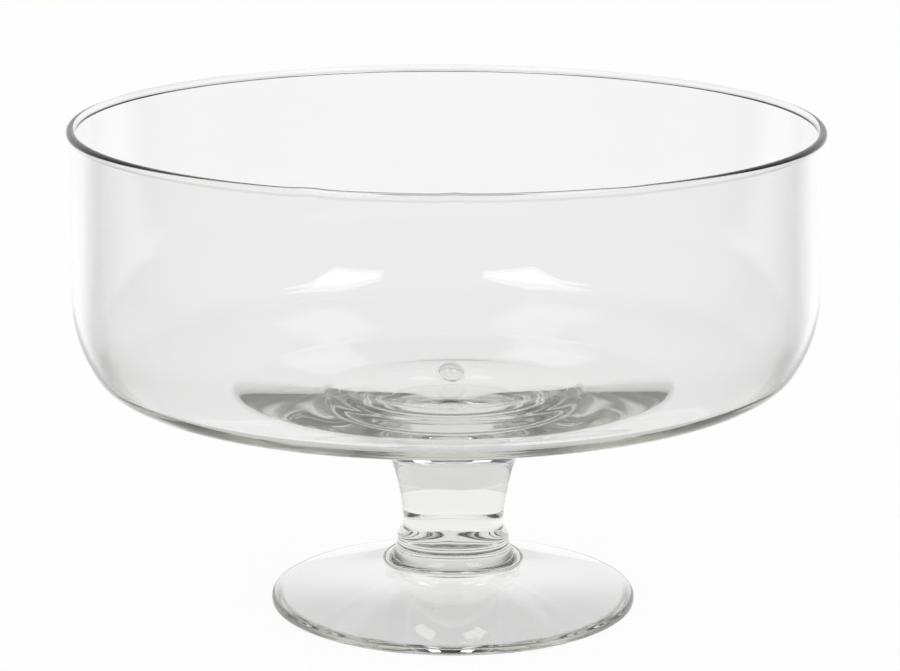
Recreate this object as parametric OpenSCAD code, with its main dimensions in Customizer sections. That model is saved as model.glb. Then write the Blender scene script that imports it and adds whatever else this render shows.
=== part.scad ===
// Trifle bowl in clear hand blown glass, standing on a stem and a round foot.
// Each piece is one gather of glass, and they are fused hot on flat seats, one above the other.
// The origin is on the table under the middle of the bowl, and +Z points up.

/* [Bowl] */
// Outside diameter over the bead of the rim
rim_d = 240; // [200:1:280]
// Height of the bowl from its seat on the stem to the top of the rim
bowl_h = 94.6; // [80:0.2:130]
// Thickness of the straight wall
wall_t = 2.1; // [1.5:0.1:3]
// How far the flame rounded rim stands out from the wall
rim_step = 0.7; // [0.2:0.1:1]
// Outside radius of the upper part of the corner, where the wall turns in
shoulder_r = 42.3; // [30:0.1:55]
// Outside radius of the lower part of the corner, which the bowl would rock on
heel_r = 12.9; // [8:0.1:20]
// Thickness of the glass in the corner
corner_t = 3.4; // [2.4:0.1:5]

/* [Floor] */
// Extra thickness that the floor gains towards its middle, over the stem
floor_swell = 7; // [6:0.2:8]
// Diameter of this thick part of the floor
swell_d = 143; // [120:1:160]
// Depth of the dip in the middle of the floor, where it sank a little over the hot stem
dip_depth = 4; // [1:0.1:4.4]
// Diameter at which the dip has faded to about a third of its depth
dip_d = 68; // [50:1:90]

/* [Air bubble] */
// Diameter of the air bubble, which is shut in a small bead of glass on the floor
bubble_d = 5.4; // [4.8:0.1:6]
// Thickness of the glass round the bubble
bubble_skin = 0.9; // [0.6:0.1:1.2]
// How deep the bead sits in the floor
bubble_sink = 1; // [0.4:0.1:1.6]
// Distance of the bead behind the middle of the floor
bubble_back = 16.2; // [0:0.1:30]

/* [Stem] */
// Height of the stem from the wafer to the bowl
stem_h = 37.7; // [33:0.1:60]
// Diameter of the waist, at the lower end of the stem
waist_d = 32.6; // [24:0.2:35]
// Radius of the long flare above the waist
flare_r = 61.2; // [50:0.2:75]
// Height of that flare, above which the stem opens in a fillet that runs into the base of the bowl
flare_h = 21.5; // [18:0.1:23]
// Height of the bowl's seat over the lowest point that the dish of its base would reach
seat_rise = 1.1; // [0.4:0.1:1.6]
// How far the stem and the foot stand to one side of the bowl, as the hand made bowl has it
stem_shift = 2.5; // [0:0.1:4]

/* [Wafer and collar] */
// Height of the wafer, the thin ring of glass under the stem
wafer_h = 3.8; // [2.5:0.1:6]
// Width of the small ledge round the waist, at the top of the wafer
wafer_ledge = 0.5; // [0.3:0.1:1]
// Diameter of the seam between the wafer and the collar
seam_d = 36.4; // [34:0.2:38]
// Height of the collar, the thick ring between the wafer and the foot
collar_h = 8.7; // [6:0.1:14]
// Largest diameter of the collar, near its lower end
collar_d = 45.8; // [40:0.2:52]
// Radius of the roll that turns the collar in, down to the foot
collar_roll = 1.3; // [0.8:0.1:2]

/* [Foot] */
// Diameter of the foot
foot_d = 118.3; // [90:0.5:140]
// Thickness of the foot at its edge
foot_edge_t = 3.3; // [2.6:0.1:5]
// Rounding of the edge of the foot
foot_round = 1.2; // [0.6:0.1:1.3]
// Rise of the top of the foot from its edge to the collar
foot_rise = 10.3; // [6:0.1:18]
// Width of the flat ring that stands on the table
rest_w = 3.4; // [2:0.2:6]
// Thickness of the glass over the hollow under the foot, at its middle
foot_middle_t = 4.6; // [3.5:0.1:6]
// Diameter of the flat roof of that hollow
hollow_d = 34; // [20:1:40]

/* [Hidden] */
// Names of the pieces
// Piece that is drawn, or all of them
// Colour of the clear glass
glass = [0.86, 0.91, 0.89, 0.45];
// Steps round a full turn
$fn = 120;
// Steps along one arc of an outline
steps = 12;
// Turn of the shoulder arc from the upright wall, in degrees
shoulder_turn = 31.3;
// Turn from the upright wall to where the corner meets the shallow base, in degrees
heel_turn = 75.4;
// Powers that round the edge of the thick part of the floor and the edge of the dip
swell_power = 1.1;
dip_power = 4;

// Heights of the seats, from the table up
foot_top = foot_edge_t + foot_rise;
collar_top = foot_top + collar_h;
wafer_top = collar_top + wafer_h;
seat_z = wafer_top + stem_h;
rim_z = seat_z + bowl_h;

// Radii of the pieces
rim_r = rim_d / 2;
wall_r = rim_r - rim_step;
bead_r = (wall_t + rim_step) / 2;
waist_r = waist_d / 2;
seam_r = seam_d / 2;
collar_r = collar_d / 2;
foot_r = foot_d / 2;
swell_r = swell_d / 2;
dip_r = dip_d / 2;

// Unit direction in the outline, at an angle below the outward one
function heading(a) = [cos(a), -sin(a)];

// Points of an arc about a centre, between two angles below the outward direction
function arc(centre, r, a0, a1) =
    [for (i = [0 : steps]) centre + r * heading(a0 + (a1 - a0) * i / steps)];

// Points of the corner below a wall: a shoulder arc, then a tighter heel arc
function corner(wall, top, big_r, small_r) =
    let (
        c1 = [wall - big_r, top],
        c2 = c1 + (big_r - small_r) * heading(shoulder_turn)
    )
    concat(arc(c1, big_r, 0, shoulder_turn), arc(c2, small_r, shoulder_turn, heel_turn));

// Last point of a list, and the list from its end to its start
function last(points) = points[len(points) - 1];
function reversed(points) = [for (i = [len(points) - 1 : -1 : 0]) points[i]];

// Height of the shallow dish that leaves the corner's end smoothly, at a distance from the axis
function dish(end, r) =
    let (curve_r = end[0] / cos(heel_turn))
    end[1] + curve_r * sin(heel_turn) - sqrt(curve_r * curve_r - r * r);

// How far the corner and the base reach below the start of the corner
corner_end = last(corner(wall_r, 0, shoulder_r, heel_r));
corner_drop = -dish(corner_end, 0);
base_z = seat_z - seat_rise;
corner_z = base_z + corner_drop;

// Top of the long flare of the stem
flare_turn = asin(flare_h / flare_r);
flare_c = [waist_r + flare_r, wafer_top];
flare_top = flare_c + flare_r * heading(180 + flare_turn);

// Fillet that leaves the flare smoothly and meets the dish of the base smoothly
dish_r = corner_end[0] / cos(heel_turn);
dish_c = [0, base_z + dish_r];
reach = dish_c[1] - flare_top[1];
fillet_r = (reach * reach + flare_top[0] * flare_top[0] - dish_r * dish_r)
    / (2 * (dish_r - reach * sin(flare_turn) - flare_top[0] * cos(flare_turn)));
fillet_c = flare_top + fillet_r * heading(flare_turn);
seat_turn = asin((seat_z - fillet_c[1]) / fillet_r);
meet_turn = atan2(dish_c[1] - fillet_c[1], fillet_c[0]);

// Outside of the corner and the base, from the wall to the seat on the stem
outer_corner = corner(wall_r, corner_z, shoulder_r, heel_r);
outer_end = last(outer_corner);
outer_fillet = arc(fillet_c, fillet_r, 180 + meet_turn, 180 + seat_turn);
outer_base = [for (i = [1 : steps - 1])
    let (r = outer_end[0] + (outer_fillet[0][0] - outer_end[0]) * i / steps)
    [r, dish(outer_end, r)]];

// Inside of the corner, thickening from the wall to the floor
inner_corner = corner(wall_r - wall_t, corner_z, shoulder_r - corner_t, heel_r - corner_t);
inner_end = last(inner_corner);

// Height of the floor inside the bowl, which swells over the stem and dips in its middle
function swell(r) = r < swell_r ? floor_swell * pow(1 - pow(r / swell_r, 2), swell_power) : 0;
function dip(r) = dip_depth * exp(-pow(r / dip_r, dip_power));
function floor_z(r) = dish(inner_end, r) + swell(r) - dip(r);
floor_steps = 3 * steps;
inner_floor = [for (i = [1 : floor_steps])
    let (r = inner_end[0] * (1 - i / floor_steps))
    [r, floor_z(r)]];

// Round bead of the rim, from the outside of the wall over the top to its inside
bead_c = [rim_r - bead_r, rim_z - bead_r];
bead = arc(bead_c, bead_r, acos((wall_r - bead_c[0]) / bead_r), -180);

// The blown bowl: straight wall, rounded corner, thick floor and the bead with its air bubble
module bowl() {
    bead_out_r = bubble_d / 2 + bubble_skin;
    bubble_c = [0, bubble_back, floor_z(bubble_back) + bead_out_r - bubble_sink];
    color(glass)
    difference() {
        union() {
            rotate_extrude()
            polygon(concat(
                bead,
                inner_corner,
                inner_floor,
                [[0, seat_z]],
                reversed(outer_fillet),
                reversed(outer_base),
                reversed(outer_corner)
            ));
            translate(bubble_c)
            sphere(r = bead_out_r);
        }
        translate(bubble_c)
        sphere(d = bubble_d);
    }
}

// The solid stem, a trumpet that opens slowly and then fast, into the base of the bowl
module stem() {
    color(glass)
    translate([stem_shift, 0, 0])
    rotate_extrude()
    polygon(concat(
        [[0, wafer_top]],
        arc(flare_c, flare_r, 180, 180 + flare_turn),
        arc(fillet_c, fillet_r, 180 + flare_turn, 180 + seat_turn),
        [[0, seat_z]]
    ));
}

// The wafer, a short ring that spreads from the ledge round the waist to the seam
module wafer() {
    top_r = waist_r + wafer_ledge;
    spread = seam_r - top_r;
    color(glass)
    translate([stem_shift, 0, 0])
    rotate_extrude()
    polygon(concat(
        [[0, collar_top], [0, wafer_top]],
        [for (i = [0 : steps])
            [top_r + spread * sin(90 * i / steps), wafer_top - wafer_h * i / steps]]
    ));
}

// The collar, which sweeps out from the seam to its widest girth and rolls in to the foot
module collar() {
    roll_z = foot_top + collar_roll;
    sweep = collar_top - roll_z;
    spread = collar_r - seam_r;
    color(glass)
    translate([stem_shift, 0, 0])
    rotate_extrude()
    polygon(concat(
        [[0, foot_top], [0, collar_top]],
        [for (i = [0 : steps])
            [collar_r - spread * cos(90 * i / steps), roll_z + sweep * (1 - sin(90 * i / steps))]],
        arc([collar_r - collar_roll, roll_z], collar_roll, 0, 90)
    ));
}

// The foot, a shallow hollow cone with a rounded edge and a flat ring to stand on
module foot() {
    edge_r = foot_r - foot_round;
    seat_r = collar_r - collar_roll;
    roof_z = foot_top - foot_middle_t;
    color(glass)
    translate([stem_shift, 0, 0])
    rotate_extrude()
    polygon(concat(
        [[0, roof_z], [0, foot_top], [seat_r, foot_top]],
        arc([edge_r, foot_edge_t - foot_round], foot_round, -90, 0),
        arc([edge_r, foot_round], foot_round, 0, 90),
        [[edge_r - rest_w, 0], [hollow_d / 2, roof_z]]
    ));
}

bowl();
stem();
wafer();
collar();
foot();
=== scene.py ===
import math

import bmesh
import bpy
from mathutils import Matrix, Vector, noise


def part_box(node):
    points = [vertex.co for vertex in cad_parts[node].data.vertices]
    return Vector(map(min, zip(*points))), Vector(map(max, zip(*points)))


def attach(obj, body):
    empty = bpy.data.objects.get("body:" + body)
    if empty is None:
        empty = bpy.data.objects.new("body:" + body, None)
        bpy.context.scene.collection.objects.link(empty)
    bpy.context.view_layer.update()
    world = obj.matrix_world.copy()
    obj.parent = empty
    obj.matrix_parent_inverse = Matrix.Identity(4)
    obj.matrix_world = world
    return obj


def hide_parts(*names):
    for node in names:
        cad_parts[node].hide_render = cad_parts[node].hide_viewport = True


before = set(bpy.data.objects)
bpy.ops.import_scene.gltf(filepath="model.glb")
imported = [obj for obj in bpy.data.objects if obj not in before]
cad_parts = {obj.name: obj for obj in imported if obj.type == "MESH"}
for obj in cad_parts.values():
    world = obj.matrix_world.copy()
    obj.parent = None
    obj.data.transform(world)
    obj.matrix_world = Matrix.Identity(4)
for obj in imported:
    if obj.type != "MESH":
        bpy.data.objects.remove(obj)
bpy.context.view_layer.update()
mm = 0.001
print("frame loaded:", ", ".join(sorted(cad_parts)))

# Camera, as fitted to the ellipses of the rim and the foot in the photograph
cameraView = {
    "distance": 1.03661,  # metres in front of the bowl's axis
    "height": 0.33705,
    "pitchDown": 13.487,  # degrees
    "turnRight": 0.07,
    "roll": 0.19,
    "focalPixels": 3313.1,
    "framePixels": 900,
    "sensor": 36.0,
}


def placeCamera():
    view = cameraView
    data = bpy.data.cameras.new("camera")
    data.sensor_width = view["sensor"]
    data.lens = view["focalPixels"] / view["framePixels"] * view["sensor"]
    data.clip_end = 50
    camera = bpy.data.objects.new("camera", data)
    bpy.context.collection.objects.link(camera)
    turn = Matrix.Rotation(-math.radians(view["turnRight"]), 4, "Z")
    tilt = Matrix.Rotation(math.radians(90 - view["pitchDown"]), 4, "X")
    roll = Matrix.Rotation(math.radians(view["roll"]), 4, "Z")
    place = Matrix.Translation((0, -view["distance"], view["height"]))
    camera.matrix_world = place @ turn @ tilt @ roll
    bpy.context.scene.camera = camera


placeCamera()
print("camera placed")

boxes = {name: [Vector(corner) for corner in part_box(name)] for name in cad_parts}
rimTop = boxes["bowl"][1].z
seatZ = boxes["bowl"][0].z
waferTop = boxes["wafer"][1].z
collarTop = boxes["collar"][1].z
footTop = boxes["foot"][1].z
axisX = (boxes["foot"][0].x + boxes["foot"][1].x) / 2
footR = (boxes["foot"][1].x - boxes["foot"][0].x) / 2

# How the hand made bowl departs from a turned one. The same lift moves every piece, so the seams stay shut
handMade = {
    "tilt": 0.0087,  # rise of the bowl's base per length towards +X
    "tiltFrom": 104 * mm,  # the lean fades from here up to the rim
    "tiltFoot": 26 * mm,  # and from the base down to here
    "saddle": [  # height, and how far the sides dip there while the front and the back rise
        (0, 0),
        (footTop, 0.75 * mm),
        (collarTop, 0.75 * mm),
        (waferTop, 1.75 * mm),
        (45 * mm, 0.4 * mm),
        (seatZ, 0),
    ],
    "flatFrom": 22 * mm,  # the saddle fades from this radius to the edge of the foot
    "calmR": 12 * mm,  # every lift fades from this radius in to the axis
    "shiftFrom": 72 * mm,  # the floor and the neck stand over the stem as far out as this
    "shiftTo": 104 * mm,
    "seamRipple": 0.22 * mm,
    "seamSpan": 3.0 * mm,
    "seamWaves": 4,
    "seamSeeds": ((waferTop, 3.1), (collarTop, 7.7)),
}


def clampShare(value):
    return min(1.0, max(0.0, value))


def alongTable(table, z):
    for (z0, lift0), (z1, lift1) in zip(table, table[1:]):
        if z <= z1:
            return lift0 + (lift1 - lift0) * clampShare((z - z0) / (z1 - z0))
    return table[-1][1]


def handLift(x, y, z):
    shape = handMade
    if z > shape["tiltFrom"]:
        lean = 1 - clampShare((z - shape["tiltFrom"]) / (rimTop - shape["tiltFrom"]))
    else:
        lean = clampShare((z - shape["tiltFoot"]) / (seatZ - shape["tiltFoot"]))
    lift = shape["tilt"] * x * lean
    dx = x - axisX
    radius = math.hypot(dx, y)
    if z < seatZ and radius > 1e-6:
        angle = math.atan2(y, dx)
        flat = 1 - clampShare((radius - shape["flatFrom"]) / (footR - shape["flatFrom"]))
        core = clampShare(radius / shape["calmR"]) ** 2
        lift -= alongTable(shape["saddle"], z) * math.cos(2 * angle) * flat * core
        waves = shape["seamWaves"]
        for seam, seed in shape["seamSeeds"]:
            near = 1 - clampShare(abs(z - seam) / shape["seamSpan"])
            spot = (waves * math.cos(angle), waves * math.sin(angle), seed)
            lift += near * core * shape["seamRipple"] * noise.noise(spot)
    return lift


def arcPoints(centre, radius, start, end, steps):
    points = []
    for i in range(steps + 1):
        turn = math.radians(start + (end - start) * i / steps)
        points.append((centre[0] + radius * math.cos(turn), centre[1] - radius * math.sin(turn)))
    return points


def linePoints(start, end, steps):
    return [tuple(a + (b - a) * i / steps for a, b in zip(start, end)) for i in range(1, steps + 1)]


def overStem(radius):
    return axisX


def overBowl(radius):
    shape = handMade
    share = clampShare((shape["shiftTo"] - radius) / (shape["shiftTo"] - shape["shiftFrom"]))
    return axisX * share * share * (3 - 2 * share)


# Unevenness of the hand made surfaces. Each function gives how far a point moves out and up
rippleShape = {
    "floorSize": 0.03 * mm,
    "floorRing": 8 * mm,  # width of a ring
    "floorWaves": 2,
    "floorIn": (20 * mm, 34 * mm),  # the rings fade in between these radii
    "floorOut": (52 * mm, 78 * mm),  # and out between these
    "rimDrop": 0.35 * mm,
    "rimKinks": (  # turn and width in degrees, rise
        (-109, 2.2, 0.35 * mm),
        (-89, 1.4, 0.3 * mm),
        (-64, 3.0, -0.15 * mm),
    ),
    "stemSize": 0.16 * mm,
    "stemStep": 9 * mm,
    "stemWaves": 1.6,
    "stemFade": (5 * mm, 9 * mm),  # above the wafer, and below the bowl
}


def floorRipple(radius, height, angle):
    shape = rippleShape
    inStart, inEnd = shape["floorIn"]
    outStart, outEnd = shape["floorOut"]
    fadeIn = clampShare((radius - inStart) / (inEnd - inStart))
    fadeOut = clampShare((outEnd - radius) / (outEnd - outStart))
    waves = shape["floorWaves"]
    spot = (waves * math.cos(angle), waves * math.sin(angle), radius / shape["floorRing"])
    return 0, shape["floorSize"] * fadeIn * fadeOut * noise.noise(spot)


def rimRipple(radius, height, angle):
    lift = -rippleShape["rimDrop"]
    for turn, width, rise in rippleShape["rimKinks"]:
        away = (math.degrees(angle) - turn + 180) % 360 - 180
        lift += rise * math.exp(-(away / width) ** 2)
    return 0, lift


def stemRipple(radius, height, angle):
    shape = rippleShape
    low, high = shape["stemFade"]
    fade = clampShare((height - waferTop) / low) * clampShare((seatZ - height) / high)
    waves = shape["stemWaves"]
    spot = (waves * math.cos(angle), waves * math.sin(angle), height / shape["stemStep"])
    return shape["stemSize"] * fade * noise.noise(spot), 0


# Turns an outline into a closed skin. A point is (radius, height, skin), and skin names its ripple.
# A band between two points that is fused to the next piece is marked on its faces
def turnPiece(outline, centreX, turns, ripples, fusedBands, closed=False):
    bm = bmesh.new()
    fusedLayer = bm.faces.layers.float.new("fused")
    rings = []
    for radius, height, skin in outline:
        ripple = ripples.get(skin)
        count = turns if radius > 1e-7 else 1
        ring = []
        for i in range(count):
            angle = 2 * math.pi * i / turns
            r = radius
            z = height
            if ripple:
                dr, dz = ripple(radius, height, angle)
                r += dr
                z += dz
            x = centreX(r) + r * math.cos(angle)
            y = r * math.sin(angle)
            ring.append(bm.verts.new((x, y, z + handLift(x, y, z))))
        rings.append(ring)
    if closed:
        rings.append(rings[0])
    for band in range(len(rings) - 1):
        low, high = rings[band], rings[band + 1]
        if len(low) == 1 and len(high) == 1:
            continue
        for i in range(turns):
            j = (i + 1) % turns
            corners = [low[i % len(low)], low[j % len(low)], high[j % len(high)], high[i % len(high)]]
            corners = list(dict.fromkeys(corners))
            face = bm.faces.new(corners)
            face.smooth = True
            face[fusedLayer] = 1.0 if band in fusedBands else 0.0
    bmesh.ops.recalc_face_normals(bm, faces=bm.faces)
    return bm


# Edges that turn by more than this stay sharp
sharpTurn = math.radians(35)


def finishPiece(bm, name, node):
    for edge in bm.edges:
        if len(edge.link_faces) == 2 and edge.calc_face_angle(0) > sharpTurn:
            edge.smooth = False
    mesh = bpy.data.meshes.new(name)
    bm.to_mesh(mesh)
    bm.free()
    piece = bpy.data.objects.new(name, mesh)
    bpy.context.collection.objects.link(piece)
    mesh.materials.append(clearGlass)
    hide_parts(node)
    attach(piece, "root")
    print("made", name, len(mesh.polygons), "faces")


# Clear soda glass: colourless when thin, a cool green over a long way through it
glassLook = {
    "ior": 1.5,
    "roughness": 0.0,
    "tint": (1.0, 1.0, 1.0, 1.0),
    "absorbColor": (0.46, 0.46, 0.37, 1.0),
    "absorbDensity": 5.6,
}


def newMaterial(name):
    material = bpy.data.materials.new(name)
    material.use_nodes = True
    material.node_tree.nodes.clear()
    return material, material.node_tree.nodes, material.node_tree.links


def addMath(nodes, links, operation, *values):
    node = nodes.new("ShaderNodeMath")
    node.operation = operation
    for slot, value in zip(node.inputs, values):
        if hasattr(value, "is_output"):
            links.new(value, slot)
        else:
            slot.default_value = value
    return node.outputs[0]


def addRamp(nodes, links, value, span, low, high):
    node = nodes.new("ShaderNodeMapRange")
    node.interpolation_type = "SMOOTHSTEP"
    links.new(value, node.inputs["Value"])
    for slot, number in zip(("From Min", "From Max", "To Min", "To Max"), (*span, low, high)):
        node.inputs[slot].default_value = number
    return node.outputs["Result"]


def addMix(nodes, links, share, first, second):
    node = nodes.new("ShaderNodeMixShader")
    links.new(first, node.inputs[1])
    links.new(second, node.inputs[2])
    if hasattr(share, "is_output"):
        links.new(share, node.inputs[0])
    else:
        node.inputs[0].default_value = share
    return node.outputs[0]


# 1 for light that only passed through the glass, and 0 for light that it mirrored
def addStraight(nodes, links, path):
    return addMath(nodes, links, "LESS_THAN", path.outputs["Glossy Depth"], 0.5)


# One glass for all pieces. Where two pieces are fused, the face marked fused lets light straight through
def makeClearGlass():
    look = glassLook
    material, nodes, links = newMaterial("clearGlass")
    glass = nodes.new("ShaderNodeBsdfPrincipled")
    glass.inputs["Base Color"].default_value = look["tint"]
    glass.inputs["Roughness"].default_value = look["roughness"]
    glass.inputs["IOR"].default_value = look["ior"]
    glass.inputs["Transmission Weight"].default_value = 1.0
    seam = nodes.new("ShaderNodeAttribute")
    seam.attribute_name = "fused"
    through = nodes.new("ShaderNodeBsdfTransparent")
    absorb = nodes.new("ShaderNodeVolumeAbsorption")
    absorb.inputs["Color"].default_value = look["absorbColor"]
    absorb.inputs["Density"].default_value = look["absorbDensity"]
    output = nodes.new("ShaderNodeOutputMaterial")
    surface = addMix(nodes, links, seam.outputs["Fac"], glass.outputs["BSDF"], through.outputs["BSDF"])
    links.new(surface, output.inputs["Surface"])
    links.new(absorb.outputs["Volume"], output.inputs["Volume"])
    return material


clearGlass = makeClearGlass()

# The blown bowl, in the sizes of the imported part
bowlShape = {
    "wall": 2.1 * mm,
    "rimStep": 0.7 * mm,
    "shoulder": 42.3 * mm,
    "heel": 12.9 * mm,
    "cornerThick": 3.4 * mm,
    "swell": 7.0 * mm,  # thick middle of the floor
    "swellR": 71.5 * mm,
    "swellPower": 1.1,
    "dip": 4.3 * mm,  # where the floor sank over the hot stem
    "dipR": 40 * mm,
    "seatRise": 1.1 * mm,  # height of the seat over the lowest point that the base's dish would reach
    "shoulderTurn": 31.3,  # degrees
    "heelTurn": 75.4,
    "turns": 288,
    "beadSteps": 20,
    "wallSteps": 30,
    "cornerSteps": 18,
    "floorSteps": 110,
    "baseSteps": 24,
    "seatSteps": 8,
    "jointGap": 0.02 * mm,
}

# The solid stem, a long flare that ends in a fillet under the bowl
stemShape = {
    "waistR": 16.3 * mm,
    "flareR": 61.2 * mm,
    "flareTurn": 20.6,  # degrees
    "steps": 30,
    "seatSteps": 6,
    "topSteps": 8,
    "turns": 192,
}

baseZ = seatZ - bowlShape["seatRise"]


def seatPoints(radius, z, steps):
    return [(radius * i / steps, z, "seat") for i in range(steps)]


def cornerPoints(wall, top, big, small):
    shape = bowlShape
    turn = math.radians(shape["shoulderTurn"])
    first = (wall - big, top)
    second = (first[0] + (big - small) * math.cos(turn), first[1] - (big - small) * math.sin(turn))
    upper = arcPoints(first, big, 0, shape["shoulderTurn"], shape["cornerSteps"])
    lower = arcPoints(second, small, shape["shoulderTurn"], shape["heelTurn"], shape["cornerSteps"])
    return upper + lower[1:]


def dishRadius(end):
    return end[0] / math.cos(math.radians(bowlShape["heelTurn"]))


def dishHeight(end, radius):
    dish = dishRadius(end)
    turn = math.radians(bowlShape["heelTurn"])
    return end[1] + dish * math.sin(turn) - math.sqrt(dish * dish - radius * radius)


# Outer and inner outline of the corner, from the wall to the base
def bowlCorners():
    shape = bowlShape
    rimR = (boxes["bowl"][1].x - boxes["bowl"][0].x) / 2
    wallR = rimR - shape["rimStep"]
    big, small, thick = shape["shoulder"], shape["heel"], shape["cornerThick"]
    cornerZ = baseZ - dishHeight(cornerPoints(wallR, 0, big, small)[-1], 0)
    outer = cornerPoints(wallR, cornerZ, big, small)
    inner = cornerPoints(wallR - shape["wall"], cornerZ, big - thick, small - thick)
    return rimR, wallR, outer, inner


rimR, wallR, outerCorner, innerCorner = bowlCorners()


def floorHeight(radius):
    shape = bowlShape
    swell = shape["swell"] * max(0.0, 1 - (radius / shape["swellR"]) ** 2) ** shape["swellPower"]
    fade = math.pi / 2 * min(1.0, (radius / shape["dipR"]) ** 2)
    return dishHeight(innerCorner[-1], radius) + swell - shape["dip"] * math.cos(fade) ** 2


# Fillet between the flare of the stem and the base of the bowl, smooth at both ends
def neckFillet():
    shape = stemShape
    dish = dishRadius(outerCorner[-1])
    turn = math.radians(shape["flareTurn"])
    sine, cosine = math.sin(turn), math.cos(turn)
    joinR = shape["waistR"] + shape["flareR"] * (1 - cosine)
    joinZ = waferTop + shape["flareR"] * sine
    drop = baseZ + dish - joinZ
    radius = (drop ** 2 + joinR ** 2 - dish ** 2) / (2 * (dish - drop * sine - joinR * cosine))
    centre = (joinR + radius * cosine, joinZ - radius * sine)
    meetTurn = 90 - math.degrees(math.atan2(centre[0], baseZ + dish - centre[1]))
    seatTurn = math.degrees(math.asin((seatZ - centre[1]) / radius))
    return radius, centre, seatTurn, meetTurn


def bowlOutline():
    shape = bowlShape
    beadR = (shape["wall"] + shape["rimStep"]) / 2
    beadCentre = (rimR - beadR, rimTop - beadR)
    beadStart = math.degrees(math.acos((wallR - beadCentre[0]) / beadR))
    bead = arcPoints(beadCentre, beadR, beadStart, -180, shape["beadSteps"])
    wallDown = linePoints(bead[-1], innerCorner[0], shape["wallSteps"])
    wallUp = linePoints(outerCorner[0], bead[0], shape["wallSteps"])[:-1]

    floorSteps = shape["floorSteps"]
    floorR = innerCorner[-1][0]
    floor = [floorR * (1 - i / floorSteps) for i in range(1, floorSteps + 1)]

    filletR, centre, seatTurn, meetTurn = neckFillet()
    steps = shape["baseSteps"]
    neck = arcPoints(centre, filletR, 180 + meetTurn, 180 + seatTurn, steps)
    outerEnd = outerCorner[-1]
    reach = neck[0][0] - outerEnd[0]
    dish = [outerEnd[0] + reach * i / steps for i in range(1, steps)]
    base = [(r, dishHeight(outerEnd, r)) for r in dish] + neck

    points = [(r, z, "rim") for r, z in bead]
    points += [(r, z, "inside") for r, z in wallDown + innerCorner[1:]]
    points += [(r, floorHeight(r), "floor") for r in floor]
    fusedStart = len(points)
    points += seatPoints(neck[-1][0], seatZ, shape["seatSteps"])
    fused = range(fusedStart, len(points))
    points += [(r, z, "outside") for r, z in reversed(outerCorner + base)]
    points += [(r, z, "outside") for r, z in wallUp]
    return points, fused


# Air bubble, shut in a squat bead of glass that stands on the floor
bubbleShape = {
    "back": 16.2 * mm,
    "aside": 1.7 * mm,
    "lift": 3.3 * mm,  # height of its middle over the floor
    "bead": (4.9 * mm, 4.7 * mm, 3.75 * mm),
    "void": (3.9 * mm, 3.75 * mm, 2.8 * mm),
    "lean": 10,  # degrees
    "rings": 32,
    "turns": 64,
}


def ballMesh(name, centre, radii):
    bm = bmesh.new()
    shape = bubbleShape
    bmesh.ops.create_uvsphere(bm, u_segments=shape["turns"], v_segments=shape["rings"], radius=1)
    for face in bm.faces:
        face.smooth = True
    lean = Matrix.Rotation(math.radians(shape["lean"]), 4, "Y")
    place = Matrix.Translation(centre) @ lean @ Matrix.Diagonal((*radii, 1))
    bmesh.ops.transform(bm, matrix=place, verts=bm.verts)
    mesh = bpy.data.meshes.new(name)
    bm.to_mesh(mesh)
    bm.free()
    return mesh


# The bead is welded to the floor, and the bubble is left empty inside it
def addBubble(bm):
    shape = bubbleShape
    floorZ = floorHeight(math.hypot(shape["aside"] - axisX, shape["back"]))
    centre = Vector((shape["aside"], shape["back"], floorZ + shape["lift"]))
    plain = bpy.data.meshes.new("plainBowl")
    bm.to_mesh(plain)
    base = bpy.data.objects.new("plainBowl", plain)
    bead = bpy.data.objects.new("bubbleBead", ballMesh("bubbleBead", centre, shape["bead"]))
    for item in (base, bead):
        bpy.context.collection.objects.link(item)
    weld = base.modifiers.new("weld", "BOOLEAN")
    weld.operation = "UNION"
    weld.solver = "EXACT"
    weld.object = bead
    welded = base.evaluated_get(bpy.context.evaluated_depsgraph_get()).to_mesh()
    bm.clear()
    bm.from_mesh(welded)
    base.to_mesh_clear()
    for item in (base, bead):
        bpy.data.meshes.remove(item.data)
    known = set(bm.faces)
    bm.from_mesh(ballMesh("bubble", centre, shape["void"]))
    bmesh.ops.reverse_faces(bm, faces=[face for face in bm.faces if face not in known])


def makeBowl():
    points, fused = bowlOutline()
    ripples = {"floor": floorRipple, "rim": rimRipple}
    bm = turnPiece(points, overBowl, bowlShape["turns"], ripples, fused, closed=True)
    addBubble(bm)
    finishPiece(bm, "blownBowl", "bowl")


makeBowl()


# A solid piece between two seats: the seat below, the side going up, a ledge if it has one, the seat above
def makeStackPiece(name, node, side, shape, ripples, ledgeTo=None):
    low, high = side[0][1], side[-1][1]
    steps, topSteps = shape["seatSteps"], shape["topSteps"]
    points = seatPoints(side[0][0], low, steps)
    points += [(r, z, "side") for r, z in side]
    if ledgeTo:
        points.append((ledgeTo, high, "seat"))
    topStart = len(points) - 1
    topR = points[-1][0]
    points += [(topR * (1 - i / topSteps), high, "seat") for i in range(1, topSteps + 1)]
    fused = list(range(steps)) + list(range(topStart, topStart + topSteps))
    finishPiece(turnPiece(points, overStem, shape["turns"], ripples, fused), name, node)


def makeStem():
    shape = stemShape
    flareR, flareEnd = shape["flareR"], 180 + shape["flareTurn"]
    filletR, centre, seatTurn, _ = neckFillet()
    side = arcPoints((shape["waistR"] + flareR, waferTop), flareR, 180, flareEnd, shape["steps"])
    side += arcPoints(centre, filletR, flareEnd, 180 + seatTurn, shape["steps"])[1:]
    side[-1] = (side[-1][0], seatZ - bowlShape["jointGap"])
    makeStackPiece("flaredStem", "stem", side, shape, {"side": stemRipple})


makeStem()

# The thin wafer spreads from a small ledge round the waist down to the seam
waferShape = {
    "ledge": 0.5 * mm,
    "seamR": 18.2 * mm,
    "steps": 12,
    "seatSteps": 6,
    "topSteps": 6,
    "turns": 192,
}


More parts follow.
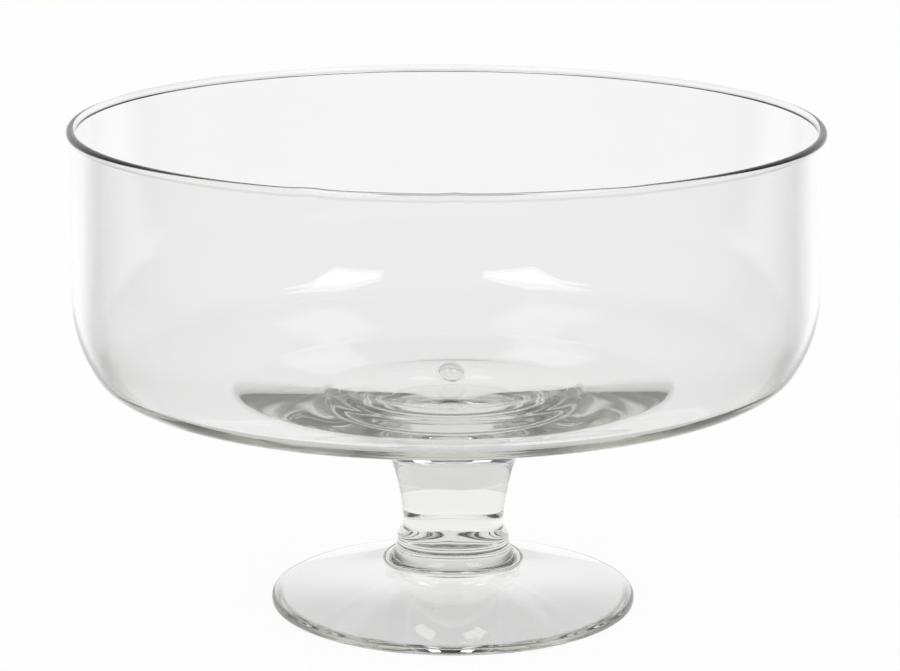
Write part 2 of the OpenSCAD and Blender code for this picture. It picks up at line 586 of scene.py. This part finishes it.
def makeWafer():
    shape = waferShape
    low, high = collarTop, waferTop - bowlShape["jointGap"]
    waistR = stemShape["waistR"]
    topR = waistR + shape["ledge"]
    spread = shape["seamR"] - topR
    side = []
    for i in range(shape["steps"] + 1):
        share = i / shape["steps"]
        side.append((topR + spread * math.cos(math.pi / 2 * share), low + (high - low) * share))
    makeStackPiece("thinWafer", "wafer", side, shape, {}, ledgeTo=waistR)


makeWafer()

# The thick collar sweeps out from the seam and rolls in to the foot
collarShape = {
    "girthR": 22.9 * mm,
    "roll": 1.3 * mm,
    "rollSteps": 8,
    "steps": 24,
    "seatSteps": 6,
    "topSteps": 6,
    "turns": 192,
}


def makeCollar():
    shape = collarShape
    low, high = footTop, collarTop - bowlShape["jointGap"]
    girthR, roll = shape["girthR"], shape["roll"]
    rollZ = low + roll
    spread = girthR - waferShape["seamR"]
    side = arcPoints((girthR - roll, rollZ), roll, 90, 0, shape["rollSteps"])
    for i in range(1, shape["steps"] + 1):
        turn = math.pi / 2 * (1 - i / shape["steps"])
        side.append((girthR - spread * math.cos(turn), rollZ + (high - rollZ) * (1 - math.sin(turn))))
    makeStackPiece("thickCollar", "collar", side, shape, {})


makeCollar()

# Shallow hollow cone that stands on a flat ring
footShape = {
    "edge": 3.3 * mm,
    "round": 1.2 * mm,
    "ring": 3.4 * mm,
    "middle": 4.6 * mm,
    "roofR": 17 * mm,
    "roundSteps": 8,
    "slopeSteps": 40,
    "roofSteps": 8,
    "ringSteps": 3,
    "seatSteps": 6,
    "turns": 288,
}


def makeFoot():
    shape = footShape
    high = footTop - bowlShape["jointGap"]
    seatR = collarShape["girthR"] - collarShape["roll"]
    edgeR = footR - shape["round"]
    roofZ = footTop - shape["middle"]
    standR = edgeR - shape["ring"]
    rounding, steps = shape["round"], shape["roundSteps"]
    upper = arcPoints((edgeR, shape["edge"] - rounding), rounding, -90, 0, steps)
    lower = arcPoints((edgeR, rounding), rounding, 0, 90, steps)
    side = linePoints((seatR, high), upper[0], shape["slopeSteps"]) + upper[1:] + lower
    side += linePoints(lower[-1], (standR, 0), shape["ringSteps"])
    side += linePoints((standR, 0), (shape["roofR"], roofZ), shape["slopeSteps"])
    side += linePoints((shape["roofR"], roofZ), (0, roofZ), shape["roofSteps"])
    points = seatPoints(seatR, high, shape["seatSteps"]) + [(seatR, high, "seat")]
    points += [(r, z, "side") for r, z in side]
    fused = range(shape["seatSteps"])
    finishPiece(turnPiece(points, overStem, shape["turns"], {}, fused), "roundFoot", "foot")


makeFoot()

# White table. The glass mirrors it bright behind the bowl, and dark at the sides and in front. Under the
# front of the foot its glow is dimmed into a painted shadow
tableLook = {
    "halfSize": 6.0,
    "drop": 0.05 * mm,  # gap under the foot
    "color": (0.9, 0.9, 0.895, 1.0),
    "glowSeen": 0.94,  # share of plain white that hides the table from the camera but for a soft shadow
    "shadowUnderFront": 0.68,  # painted shadow of the foot: how white the table is left under the front of the foot, as the glass shows it
    "frontToBack": (-0.02, 0.03),
    "nearToFar": (0.12, 0.25),
    "turnFrom": 0.06,  # the turns below are about a point so many metres in front
    "backToSide": (0.68, 1.0),  # turn from straight behind, in radians
    "side": 0.22,
    "sideToFront": (1.2, 1.9),
    "front": 0.1,
}


def makeTable():
    look = tableLook
    bm = bmesh.new()
    bmesh.ops.create_grid(bm, x_segments=1, y_segments=1, size=look["halfSize"])
    mesh = bpy.data.meshes.new("table")
    bm.to_mesh(mesh)
    bm.free()
    table = bpy.data.objects.new("table", mesh)
    table.location.z = -look["drop"]
    bpy.context.collection.objects.link(table)
    material, nodes, links = newMaterial("paleTable")
    place = nodes.new("ShaderNodeTexCoord")
    parts = nodes.new("ShaderNodeSeparateXYZ")
    links.new(place.outputs["Object"], parts.inputs[0])
    length = nodes.new("ShaderNodeVectorMath")
    length.operation = "LENGTH"
    links.new(place.outputs["Object"], length.inputs[0])
    aside = addMath(nodes, links, "ABSOLUTE", parts.outputs["X"])
    ahead = addMath(nodes, links, "ADD", parts.outputs["Y"], look["turnFrom"])
    turn = addMath(nodes, links, "ARCTAN2", aside, ahead)
    # Painted shadow: seen through the glass, the table near the foot glows less in front, in place of the
    # foot's shadow
    under = addRamp(nodes, links, parts.outputs["Y"], look["frontToBack"], look["shadowUnderFront"], 1)
    side = addRamp(nodes, links, turn, look["backToSide"], 1, look["side"])
    front = addRamp(nodes, links, turn, look["sideToFront"], 1, look["front"])
    mirroredFar = addMath(nodes, links, "MULTIPLY", side, front)
    near = addRamp(nodes, links, length.outputs["Value"], look["nearToFar"], 1, 0)
    path = nodes.new("ShaderNodeLightPath")
    # seen through the glass, the far table is plain white
    far = addMath(nodes, links, "MAXIMUM", mirroredFar, addStraight(nodes, links, path))
    gain = addMath(nodes, links, "SUBTRACT", under, far)
    glow = addMath(nodes, links, "MULTIPLY_ADD", gain, near, far)
    inGlass = nodes.new("ShaderNodeEmission")
    links.new(glow, inGlass.inputs["Strength"])
    diffuse = nodes.new("ShaderNodeBsdfDiffuse")
    diffuse.inputs["Color"].default_value = look["color"]
    white = nodes.new("ShaderNodeEmission")
    seen = addMix(nodes, links, look["glowSeen"], diffuse.outputs[0], white.outputs[0])
    output = nodes.new("ShaderNodeOutputMaterial")
    surface = addMix(nodes, links, path.outputs["Is Camera Ray"], inGlass.outputs[0], seen)
    links.new(surface, output.inputs["Surface"])
    mesh.materials.append(material)


makeTable()
print("table placed")

# White room. The glass mirrors it bright behind the bowl, and darker overhead, at the sides and in front
roomLook = {
    "overhead": 0.6,
    "lowToHigh": (0.3, 0.8),  # sine of the elevation
    "side": 0.3,
    "sideToBack": (0.45, 0.85),  # cosine of the turn from straight behind
    "front": 0.05,
    "frontToSide": (-0.7, -0.1),
}


def makeRoom():
    look = roomLook
    world = bpy.data.worlds.new("whiteRoom")
    bpy.context.scene.world = world
    world.use_nodes = True
    nodes, links = world.node_tree.nodes, world.node_tree.links
    nodes.clear()
    place = nodes.new("ShaderNodeTexCoord")
    parts = nodes.new("ShaderNodeSeparateXYZ")
    links.new(place.outputs["Generated"], parts.inputs[0])
    height = addRamp(nodes, links, parts.outputs["Z"], look["lowToHigh"], 1, look["overhead"])
    back = addRamp(nodes, links, parts.outputs["Y"], look["sideToBack"], look["side"], 1)
    front = addRamp(nodes, links, parts.outputs["Y"], look["frontToSide"], look["front"], 1)
    strength = addMath(nodes, links, "MULTIPLY", height, addMath(nodes, links, "MULTIPLY", back, front))
    mirrored = nodes.new("ShaderNodeBackground")
    links.new(strength, mirrored.inputs["Strength"])
    plain = nodes.new("ShaderNodeBackground")
    path = nodes.new("ShaderNodeLightPath")
    # seen directly, through the glass or from the table, the room is plain white
    onTable = addMath(nodes, links, "GREATER_THAN", path.outputs["Diffuse Depth"], 0.5)
    bright = addMath(nodes, links, "MAXIMUM", onTable, addStraight(nodes, links, path))
    output = nodes.new("ShaderNodeOutputWorld")
    surface = addMix(nodes, links, bright, mirrored.outputs[0], plain.outputs[0])
    links.new(surface, output.inputs["Surface"])


makeRoom()
print("room made")

# Two tall softboxes in front, on the left and on the right
lampLooks = {
    "softboxLeft": {"place": (-0.51, -0.5, 1.2), "size": (0.42, 0.85), "roll": 50, "power": 2.9},
    "softboxRight": {"place": (0.65, -0.5, 1.2), "size": (0.42, 0.85), "roll": -50, "power": 2.9},
}
lampAim = Vector((0, 0, 90 * mm))


def makeLamps():
    for name, look in lampLooks.items():
        data = bpy.data.lights.new(name, "AREA")
        data.shape = "RECTANGLE"
        data.size, data.size_y = look["size"]
        data.energy = look["power"]
        lamp = bpy.data.objects.new(name, data)
        lamp.location = look["place"]
        aim = (lampAim - lamp.location).to_track_quat("-Z", "Y").to_matrix()
        roll = Matrix.Rotation(math.radians(look["roll"]), 3, "Z")
        lamp.rotation_euler = (aim @ roll).to_euler()
        lamp.visible_camera = False
        bpy.context.collection.objects.link(lamp)


makeLamps()
print("lamps placed")

bpy.context.scene.view_settings.view_transform = "Standard"
# Thick clear glass needs long light paths, or its edges turn black
lightPaths = bpy.context.scene.cycles
lightPaths.max_bounces = 160
lightPaths.glossy_bounces = 160
lightPaths.transmission_bounces = 160
lightPaths.transparent_max_bounces = 40
